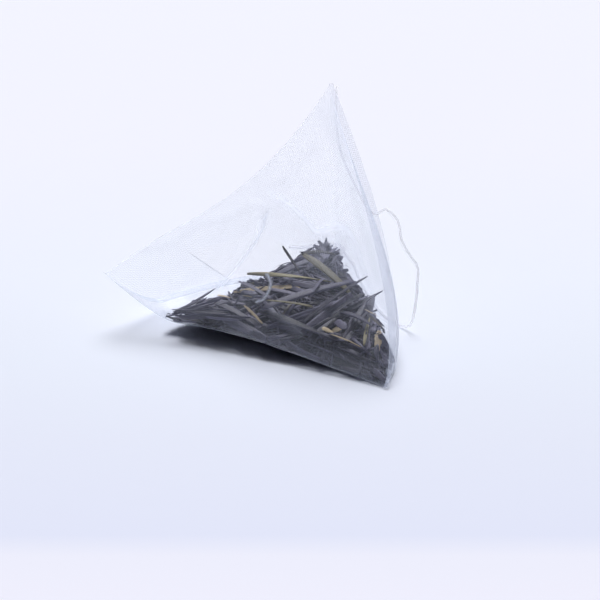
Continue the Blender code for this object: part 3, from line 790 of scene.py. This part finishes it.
NEEDLES = [
    model_needle("needle_rolled", 0.55, math.radians(40), 0.45, 0.9),
    model_needle("needle_flat", 0.28, math.radians(25), 0.65, 0.8),
    model_needle("needle_twisted", 0.42, math.radians(110), 0.40, 0.9),
    model_needle("needle_wide", 0.34, math.radians(-30), 0.75, 1.2),
]
FLAKE = model_needle("torn_flake", 0.13, math.radians(20), 0.40, 0.5, torn=0.30)
print("needle:", len(NEEDLES[0].data.polygons), "faces")


# %% [markdown]
# Dry leaf is nearly black, with fine ribs along its length. Its rolled edges are painted lighter, a painted
# highlight that does not follow the light. An image of a leaf could be wrapped round each needle. A stretched
# noise gives the ribs here, because it needs no image, and a tone of its own sets each leaf apart.

# %% Leaf finish
PAINTED_EDGE_HIGHLIGHT = 0.3
EDGE_HIGHLIGHT_SHARPNESS = 8.0
RIB_SHARE = 0.7
RIB_STRETCH = (26.0, 1.6, 1.0)


def leaf_finish(name, dark, light, roughness):
    """Dry leaf: fine ribs along its length, and a tone that differs from leaf to leaf."""
    finish = Finish(name)
    coords = finish.add("ShaderNodeUVMap")
    stretch = finish.add("ShaderNodeMapping")
    stretch.inputs["Scale"].default_value = RIB_STRETCH
    finish.join(coords.outputs["UV"], stretch.inputs["Vector"])
    ribs = finish.add("ShaderNodeTexNoise", {"Scale": 1.0, "Detail": 3.0, "Roughness": 0.6})
    finish.join(stretch.outputs["Vector"], ribs.inputs["Vector"])
    own = finish.own("tone")
    around = finish.add("ShaderNodeSeparateXYZ")
    finish.join(coords.outputs["UV"], around.inputs["Vector"])
    # Painted highlight: both rolled edges of every leaf are made lighter in the colour.
    wave = finish.math("COSINE", finish.math("MULTIPLY", around.outputs["X"], 2 * math.pi), 0.0)
    rim = finish.math("POWER", finish.math("ABSOLUTE", wave, 0.0), EDGE_HIGHLIGHT_SHARPNESS)
    ribbed = finish.math("ADD", finish.math("MULTIPLY", ribs.outputs["Fac"], RIB_SHARE), own)
    mixed = finish.math("ADD", ribbed, finish.math("MULTIPLY", rim, PAINTED_EDGE_HIGHLIGHT))
    colour = finish.ramp(mixed, ((0.25, dark), (1.0, light)))
    finish.join(colour, finish.shader.inputs["Base Color"])
    finish.shader.inputs["Roughness"].default_value = roughness
    finish.shader.inputs["Specular IOR Level"].default_value = 0.45
    bump = finish.add("ShaderNodeBump", {"Strength": 0.6, "Distance": 0.00008})
    finish.join(ribs.outputs["Fac"], bump.inputs["Height"])
    finish.join(bump.outputs["Normal"], finish.shader.inputs["Normal"])
    return finish.material


LEAF_FINISHES = {
    "dark_leaf": leaf_finish("dark_leaf", paint(9, 9, 19), paint(118, 114, 138), 0.55),
    "olive_leaf": leaf_finish("olive_leaf", paint(50, 46, 36), paint(168, 158, 118), 0.55),
    "straw_piece": leaf_finish("straw_piece", paint(136, 118, 92), paint(228, 208, 172), 0.65),
    "stem": leaf_finish("stem", paint(44, 42, 46), paint(108, 100, 92), 0.55),
}
KINDS = list(LEAF_FINISHES)
print("leaf kinds:", KINDS)


# %% [markdown]
# The leaves that show best have solids of their own. Each could be modelled by hand. Instead the middle line
# of its solid is measured and a copy of a needle is bent along it, so that the leaf stays where its solid
# is. Two leaves came out too wide against the photograph and one too light: SLIM and TONES mend them.

# %% Leaves with solids of their own
STATIONS = 9
STATION_REACH = 1.6
LOOK_AHEAD = 0.05
STEEP = 0.05
NAMED_SEED = 5
NAMED_TONE = (0.0, 0.5)
NAMED_ROLL = (-0.4, 0.4)
TONES = {"olive_leaf_04": -0.35}
SLIM = {"straw_piece_06": 0.45, "olive_leaf_04": 0.7}


def spine_of(node):
    """The middle line of a leaf's solid, and its width, in metres."""
    places = np.array([vert.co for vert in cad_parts[node].data.vertices])
    middle = places.mean(axis=0)
    _, _, axes = np.linalg.svd(places - middle)
    along = (places - middle) @ axes[0]
    low, high = along.min(), along.max()
    line = []
    for number in range(STATIONS):
        goal = low + (high - low) * number / (STATIONS - 1)
        near = np.abs(along - goal) < (high - low) / STATIONS / STATION_REACH
        line.append(places[near].mean(axis=0))
    width = np.ptp((places - middle) @ axes[1])
    return np.array(line), width


def lay_leaf(shape, layer, needle, line, width, roll, tone):
    """Adds one copy of a needle along a line."""
    count = len(shape.verts)
    shape.from_mesh(needle.data)
    shape.verts.ensure_lookup_table()
    steps = np.linspace(0, 1, len(line))
    for vert in shape.verts[count:]:
        along = vert.co.x + 0.5
        shares = (along, min(1, along + LOOK_AHEAD), max(0, along - LOOK_AHEAD))
        middle, ahead, behind = (
            Vector([np.interp(share, steps, line[:, axis]) for axis in range(3)]) for share in shares
        )
        run = (ahead - behind).normalized()
        side = run.cross(Vector((0, 0, 1)))
        side = side.normalized() if side.length > STEEP else Vector((1, 0, 0))
        lift = side.cross(run)
        turn = Matrix.Rotation(roll, 3, run)
        vert.co = middle + turn @ (side * vert.co.y + lift * vert.co.z) * width
        vert[layer] = tone


draw = random.Random(NAMED_SEED)
named = []
for node in sorted(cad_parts):
    kind = node.rsplit("_", 1)[0]
    if kind not in LEAF_FINISHES:
        continue
    line, width = spine_of(node)
    shape = bmesh.new()
    layer = shape.verts.layers.float.new("tone")
    needle = FLAKE if kind == "straw_piece" else draw.choice(NEEDLES)
    tone = TONES.get(node, draw.uniform(*NAMED_TONE))
    lay_leaf(shape, layer, needle, line, width * SLIM.get(node, 1.0), draw.uniform(*NAMED_ROLL), tone)
    mesh = bpy.data.meshes.new(node + "_fine")
    shape.to_mesh(mesh)
    shape.free()
    mesh.materials.clear()
    mesh.materials.append(LEAF_FINISHES[kind])
    leaf = add_object(node + "_fine", mesh)
    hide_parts(node)
    named.append(leaf)
print("leaves with solids:", len(named))

# %% [markdown]
# Some leaves catch the eye in the photograph, and chance wouldn't put them in the right places. So each is
# given by the two points of the picture between which it lies. The lines of sight through those points are
# followed down to the heap, and the leaf is laid where they meet it.

# %% Leaves that stand out in the photograph
PICTURE = 600
LAID_LIFTS = {"dark_leaf": 2.4, "olive_leaf": 2.8, "straw_piece": 4.2, "stem": 2.4}
LAID_ROLL = 0.9
LAID_TURN = (-0.3, 0.3)
LAID_STEPS = 5
LEAST_STATIONS = 3
# Each row: from this many pixels across and down to these, and the width in millimetres.
LAID_ROWS = (
    ("dark_leaf", (
        (382, 291, 307, 333, 1.4),
    )),
    ("straw_piece", (
        (288, 281, 329, 290, 1.7),
    )),
    ("dark_leaf", (
        (366, 301, 344, 341, 1.3), (352, 295, 302, 333, 1.9), (346, 300, 267, 328, 1.5),
        (338, 299, 311, 318, 1.3), (300, 288, 334, 304, 1.1), (264, 302, 279, 318, 1.0),
        (269, 323, 295, 318, 0.9), (225, 311, 270, 327, 1.3), (268, 325, 351, 341, 1.4),
        (225, 317, 251, 333, 1.6), (353, 332, 344, 343, 1.1), (370, 372, 382, 384, 1.1),
        (196, 304, 236, 318, 1.4), (366, 335, 374, 296, 1.6), (205, 312, 262, 333, 1.3),
    )),
    ("olive_leaf", (
        (248, 270, 299, 289, 1.1), (367, 312, 355, 327, 0.6), (371, 315, 365, 347, 0.6),
        (272, 290, 284, 292, 0.8), (274, 296, 280, 302, 0.5), (279, 302, 293, 301, 0.5),
        (313, 303, 322, 301, 0.5), (292, 321, 314, 313, 0.7), (355, 331, 372, 330, 0.5),
        (351, 337, 364, 348, 0.6), (337, 347, 369, 360, 0.8), (362, 365, 375, 368, 0.7),
        (243, 327, 265, 339, 1.5),
    )),
    ("straw_piece", (
        (292, 283, 328, 290, 1.5), (242, 291, 257, 294, 1.3), (218, 306, 232, 303, 0.9),
        (336, 321, 347, 329, 1.9), (322, 338, 340, 335, 1.8), (262, 337, 279, 336, 0.6),
    )),
    ("stem", (
        (296, 302, 283, 319, 0.6),
    )),
)
LAID_LEAVES = [(kind, row[:2], row[2:4], row[4]) for kind, rows in LAID_ROWS for row in rows]


def sight_through(pixel):
    """Where the line of sight through a pixel of the photograph starts, in the camera's own plane."""
    right, up = (camera.rotation_euler.to_matrix() @ Vector(way) for way in ((1, 0, 0), (0, 1, 0)))
    across, down = (value / PICTURE - 0.5 for value in pixel)
    return camera.location + VIEW_WIDTH * (right * across - up * down)


def laid_line(kind, start, end):
    """A line from one pixel to another, laid on the heap."""
    stations = []
    for step in range(LAID_STEPS):
        pixel = Vector(start).lerp(Vector(end), step / (LAID_STEPS - 1))
        place = heap.ray_cast(sight_through(pixel), towards)[0]
        if place is not None:
            stations.append((step / (LAID_STEPS - 1), place - towards * LAID_LIFTS[kind] * MM))
    if len(stations) < LEAST_STATIONS:
        return None
    shares, places = zip(*stations)
    columns = [np.polyfit(shares, [place[axis] for place in places], 2) for axis in range(3)]
    steps = np.linspace(0, 1, LAID_STEPS)
    line = [Vector([np.polyval(column, step) for column in columns]) for step in steps]
    return pressed_in(line)


print("leaves to lay:", len(LAID_LEAVES))


# %% [markdown]
# The hundreds of smaller leaves lie on the heap and press against the mesh. Physics could drop them, but it
# is slow and hard to repeat. Each is laid at a random place on the heap instead, turned along its surface,
# pushed in from the mesh, and left out where it can't stay inside the pouch.

# %% Loose leaves
LOOSE_SEED = 23
LOOSE_TONE = (0, 0.55)
LOOSE_KINDS = (82, 10, 2, 6)
LOOSE_SPREAD = 50
LOOSE_HEADING = -20
LOOSE_RISE = 0.05
LOOSE_BEND = 0.06
LOOSE_SCATTER = 0.5
LINE_POINTS = 5
LOOSE_COUNT = 620
LOOSE_LENGTH = (5.0, 15.0)
LOOSE_WIDTH = (0.7, 1.5)
LOOSE_OFF_HEAP = 1.8
LOOSE_LIFT = (-0.7, 0.1)
CRUMB_COUNT = 170
CRUMB_LENGTH = (1.6, 5.0)
CRUMB_WIDTH = (0.25, 0.6)
CRUMB_LIFT = (0.3, 1.6)
CRUMB_KINDS = (22, 48, 20, 10)
CRUMB_SPREAD = 80
FAN_TIP = Vector((-15.8, -7.0, 6.4))
FAN_ENDS = (Vector((-7.2, -3.4, 9.6)), Vector((0.6, -13.0, 7.2)))
FAN_COUNT = 16
FAN_LENGTH = (0.6, 1.0)
FAN_WIDTH = (0.6, 1.1)
FAN_SCATTER = ((0, 3), (-1, 1), (-0.8, 0.6))
FAN_SAG = (-0.4, 0.4)
HEAP_TOP = 0.1
PRESS_TRIES = 14
PRESS_MARGIN = 0.1 * MM
CLEAR = 0.30 * MM


def inside(place):
    """How far inside the pouch a place is, in metres."""
    hit, normal, _, _ = pouch_tree.find_nearest(place)
    return -(place - hit).dot(normal)


def heap_tree():
    """A tree that finds the nearest place on the heap, and its faces' middles, normals and areas."""
    shape = bmesh.new()
    shape.from_mesh(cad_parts["tea_heap"].data)
    bmesh.ops.remove_doubles(shape, verts=shape.verts, dist=1e-6)
    tree = BVHTree.FromBMesh(shape)
    faces = [(face.calc_center_median(), face.normal.copy(), face.calc_area()) for face in shape.faces]
    shape.free()
    return tree, faces


heap, heap_faces = heap_tree()
tops = [row for row in heap_faces if row[1].z > HEAP_TOP]
areas = np.cumsum([row[2] for row in tops])


def pressed_in(line):
    """The same line, pushed inwards until it is clear of the pouch, or None where that can't be."""
    for _ in range(PRESS_TRIES):
        depth = min(inside(line[0]), inside(line[-1]), inside(line[2]))
        if depth > CLEAR:
            return np.array(line)
        worst = min(line, key=inside)
        _, out, _, _ = pouch_tree.find_nearest(worst)
        shift = -out * (CLEAR - depth + PRESS_MARGIN)
        line = [place + shift for place in line]
    return None


def loose_line(draw, lengths, lifts, spread):
    """A short bent line for one leaf, along the heap's surface, or None where it would leave the pouch."""
    centre, normal, _ = tops[int(np.searchsorted(areas, draw.random() * areas[-1]))]
    length = draw.uniform(*lengths) * MM
    heading = math.radians(draw.gauss(LOOSE_HEADING, spread))
    run = Vector((math.cos(heading), math.sin(heading), 0.0))
    run = (run - run.dot(normal) * normal).normalized()
    run = (run + Vector((0, 0, draw.gauss(0, LOOSE_RISE)))).normalized()
    side = run.cross(normal)
    bend = draw.gauss(0, LOOSE_BEND) * length
    start = centre + Vector((draw.gauss(0, LOOSE_SCATTER), draw.gauss(0, LOOSE_SCATTER), 0)) * MM
    start += normal * draw.uniform(*lifts) * MM
    line = []
    for number in range(LINE_POINTS):
        along = number / (LINE_POINTS - 1) - 0.5
        line.append(start + run * along * length + side * bend * (1 - 4 * along * along))
    line = pressed_in(line)
    if line is None or max(heap.find_nearest(Vector(place))[3] for place in line) > LOOSE_OFF_HEAP * MM:
        return None
    return line


def fan_line(draw, share):
    """One of the thin leaves that fan out from the bag's left corner."""
    end = FAN_ENDS[0].lerp(FAN_ENDS[1], share)
    start = FAN_TIP + Vector([draw.uniform(*reach) for reach in FAN_SCATTER])
    start, end = start * MM, start.lerp(end, draw.uniform(*FAN_LENGTH)) * MM
    sag = Vector((0, 0, draw.uniform(*FAN_SAG))) * MM
    steps = [step / (LINE_POINTS - 1) for step in range(LINE_POINTS)]
    return pressed_in([start.lerp(end, step) + sag * math.sin(math.pi * step) for step in steps])


def build_loose():
    """All leaves without a solid, as one mesh."""
    draw = random.Random(LOOSE_SEED)
    shape = bmesh.new()
    layer = shape.verts.layers.float.new("tone")
    made = 0

    def add_leaf(line, needle, width, kind, roll=None):
        count = len(shape.faces)
        if roll is None:
            roll = draw.uniform(0, math.pi)
        lay_leaf(shape, layer, needle, line, width * MM, roll, draw.uniform(*LOOSE_TONE))
        shape.faces.ensure_lookup_table()
        for face in shape.faces[count:]:
            face.material_index = kind

    for kind, start, end, width in LAID_LEAVES:
        line = laid_line(kind, start, end)
        if line is None:
            print("no place for a leaf at", start)
            continue
        needle = FLAKE if kind == "straw_piece" else draw.choice(NEEDLES)
        run = Vector(line[-1] - line[0]).normalized()
        roll = LAID_ROLL * run.x + draw.uniform(*LAID_TURN)
        add_leaf(line, needle, width, KINDS.index(kind), roll=roll)
        made += 1
    for _ in range(LOOSE_COUNT):
        line = loose_line(draw, LOOSE_LENGTH, LOOSE_LIFT, LOOSE_SPREAD)
        if line is not None:
            kind = draw.choices(range(len(KINDS)), LOOSE_KINDS)[0]
            add_leaf(line, draw.choice(NEEDLES), draw.uniform(*LOOSE_WIDTH), kind)
            made += 1
    for number in range(FAN_COUNT):
        line = fan_line(draw, number / (FAN_COUNT - 1))
        if line is not None:
            add_leaf(line, NEEDLES[0], draw.uniform(*FAN_WIDTH), 0)
            made += 1
    for _ in range(CRUMB_COUNT):
        line = loose_line(draw, CRUMB_LENGTH, CRUMB_LIFT, CRUMB_SPREAD)
        if line is not None:
            kind = draw.choices(range(len(KINDS)), CRUMB_KINDS)[0]
            add_leaf(line, FLAKE, draw.uniform(*CRUMB_WIDTH), kind)
            made += 1
    mesh = bpy.data.meshes.new("loose_tea")
    shape.to_mesh(mesh)
    shape.free()
    mesh.materials.clear()
    for kind in KINDS:
        mesh.materials.append(LEAF_FINISHES[kind])
    tea = add_object("loose_tea", mesh)
    print("loose leaves:", made, "with", len(mesh.polygons), "faces")
    return tea


loose = build_loose()
for needle in (*NEEDLES, FLAKE):
    bpy.data.objects.remove(needle, do_unlink=True)

# %% [markdown]
# Three plain finishes are left: a dark grain for the heap, which hardly shows, loose cotton that lets light
# pass between its fibres, and white paper with faint flecks. Images could be painted for them, but nothing
# is printed on them, so noise and flat colour are enough.

# %% Heap, thread and tag finishes
FIBRE_SHARE = 0.5
GAP_SHARE = 0.7

core = Finish("tea_core")
coords = core.add("ShaderNodeTexCoord")
grain = core.add("ShaderNodeTexNoise", {"Scale": 900.0, "Detail": 4.0})
core.join(coords.outputs["Object"], grain.inputs["Vector"])
dust = core.ramp(grain.outputs["Fac"], ((0.35, paint(22, 22, 26)), (0.7, paint(52, 51, 56))))
core.join(dust, core.shader.inputs["Base Color"])
core.shader.inputs["Roughness"].default_value = 0.8
core_bump = core.add("ShaderNodeBump", {"Strength": 0.8, "Distance": 0.0003})
core.join(grain.outputs["Fac"], core_bump.inputs["Height"])
core.join(core_bump.outputs["Normal"], core.shader.inputs["Normal"])
heap_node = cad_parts["tea_heap"]
heap_node.data.materials.clear()
heap_node.data.materials.append(core.material)

cotton = Finish("cotton")
fluff = cotton.add("ShaderNodeBsdfDiffuse", {"Color": paint(250, 250, 255)})
glow_through = cotton.add("ShaderNodeBsdfTranslucent", {"Color": paint(250, 250, 255)})
yarn = cotton.mix(fluff.outputs["BSDF"], glow_through.outputs["BSDF"], FIBRE_SHARE)
between_fibres = cotton.add("ShaderNodeBsdfTransparent", {"Color": (1, 1, 1, 1)})
fluffy = cotton.mix(yarn, between_fibres.outputs["BSDF"], GAP_SHARE)
cotton.join(fluffy, cotton.output.inputs["Surface"])
cotton.tree.nodes.remove(cotton.shader)
thread.data.materials.append(cotton.material)

card = Finish("tag_paper")
coords = card.add("ShaderNodeTexCoord")
fibres = card.add("ShaderNodeTexNoise", {"Scale": 1500.0, "Detail": 5.0})
card.join(coords.outputs["Object"], fibres.inputs["Vector"])
flecks = card.ramp(fibres.outputs["Fac"], ((0.3, paint(236, 238, 250)), (0.7, paint(243, 244, 254))))
card.join(flecks, card.shader.inputs["Base Color"])
card.shader.inputs["Roughness"].default_value = 0.85
print("finishes:", core.material.name, cotton.material.name, card.material.name)

# %% [markdown]
# The tag is a square of paper, and its size is guessed. A flat box would do, but it would look like a block.
# So a grid is rounded at its corners and bowed a little in edit mode, and Solidify gives it its thickness.

# %% Tag
TAG_SIDE = 18.0
TAG_TURN = 122
TAG_PAPER = 0.06
TAG_CORNER = 1.0
TAG_BOW = 0.06
TAG_LIFT = 0.02
TAG_CUTS = 12
TAG_BOW_REACH = 0.6


def model_tag():
    """The paper tag, where its solid lies."""
    low, high = (Vector(corner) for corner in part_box("paper_tag"))
    middle = (low + high) / 2
    middle.z = TAG_LIFT * MM
    bpy.ops.object.select_all(action="DESELECT")
    bpy.ops.mesh.primitive_grid_add(
        x_subdivisions=TAG_CUTS,
        y_subdivisions=TAG_CUTS,
        size=TAG_SIDE * MM,
        location=middle,
        rotation=(0, 0, math.radians(TAG_TURN)),
    )
    tag = bpy.context.object
    tag.name = "folded_paper_tag"
    bpy.ops.object.transform_apply(location=True, rotation=True, scale=True)
    bpy.ops.object.mode_set(mode="EDIT")
    bpy.ops.mesh.select_mode(type="VERT")
    bpy.ops.mesh.select_all(action="DESELECT")
    shape = bmesh.from_edit_mesh(tag.data)
    for vert in shape.verts:
        vert.select = len(vert.link_edges) == 2
    bmesh.update_edit_mesh(tag.data)
    bpy.ops.mesh.bevel(offset=TAG_CORNER * MM, segments=4, affect="VERTICES")
    bpy.ops.mesh.select_all(action="DESELECT")
    shape = bmesh.from_edit_mesh(tag.data)
    near = min(shape.verts, key=lambda vert: (vert.co - middle).length)
    near.select = True
    bmesh.update_edit_mesh(tag.data)
    bpy.ops.transform.translate(
        value=(0, 0, TAG_BOW * MM),
        use_proportional_edit=True,
        proportional_edit_falloff="SMOOTH",
        proportional_size=TAG_SIDE * MM * TAG_BOW_REACH,
    )
    bpy.ops.object.mode_set(mode="OBJECT")
    bpy.ops.object.modifier_add(type="SOLIDIFY")
    tag.modifiers[-1].thickness = TAG_PAPER * MM
    tag.modifiers[-1].offset = 1
    bpy.ops.object.modifier_apply(modifier=tag.modifiers[-1].name)
    tag.data.materials.clear()
    tag.data.materials.append(card.material)
    return tag


tag = model_tag()
print("tag:", len(tag.data.polygons), "faces")

# %% [markdown]
# Now every piece is tied to the frame: each rides on the root, and the solids that the tag, the pouch and the
# thread stand in for are hidden.

# %% Tie to the frame
for piece in (pouch, loose, thread, tag, *named):
    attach(piece, "root")
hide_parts("paper_tag")
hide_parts("mesh_pouch")
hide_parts("thread", "thread_coil", "thread_tail")
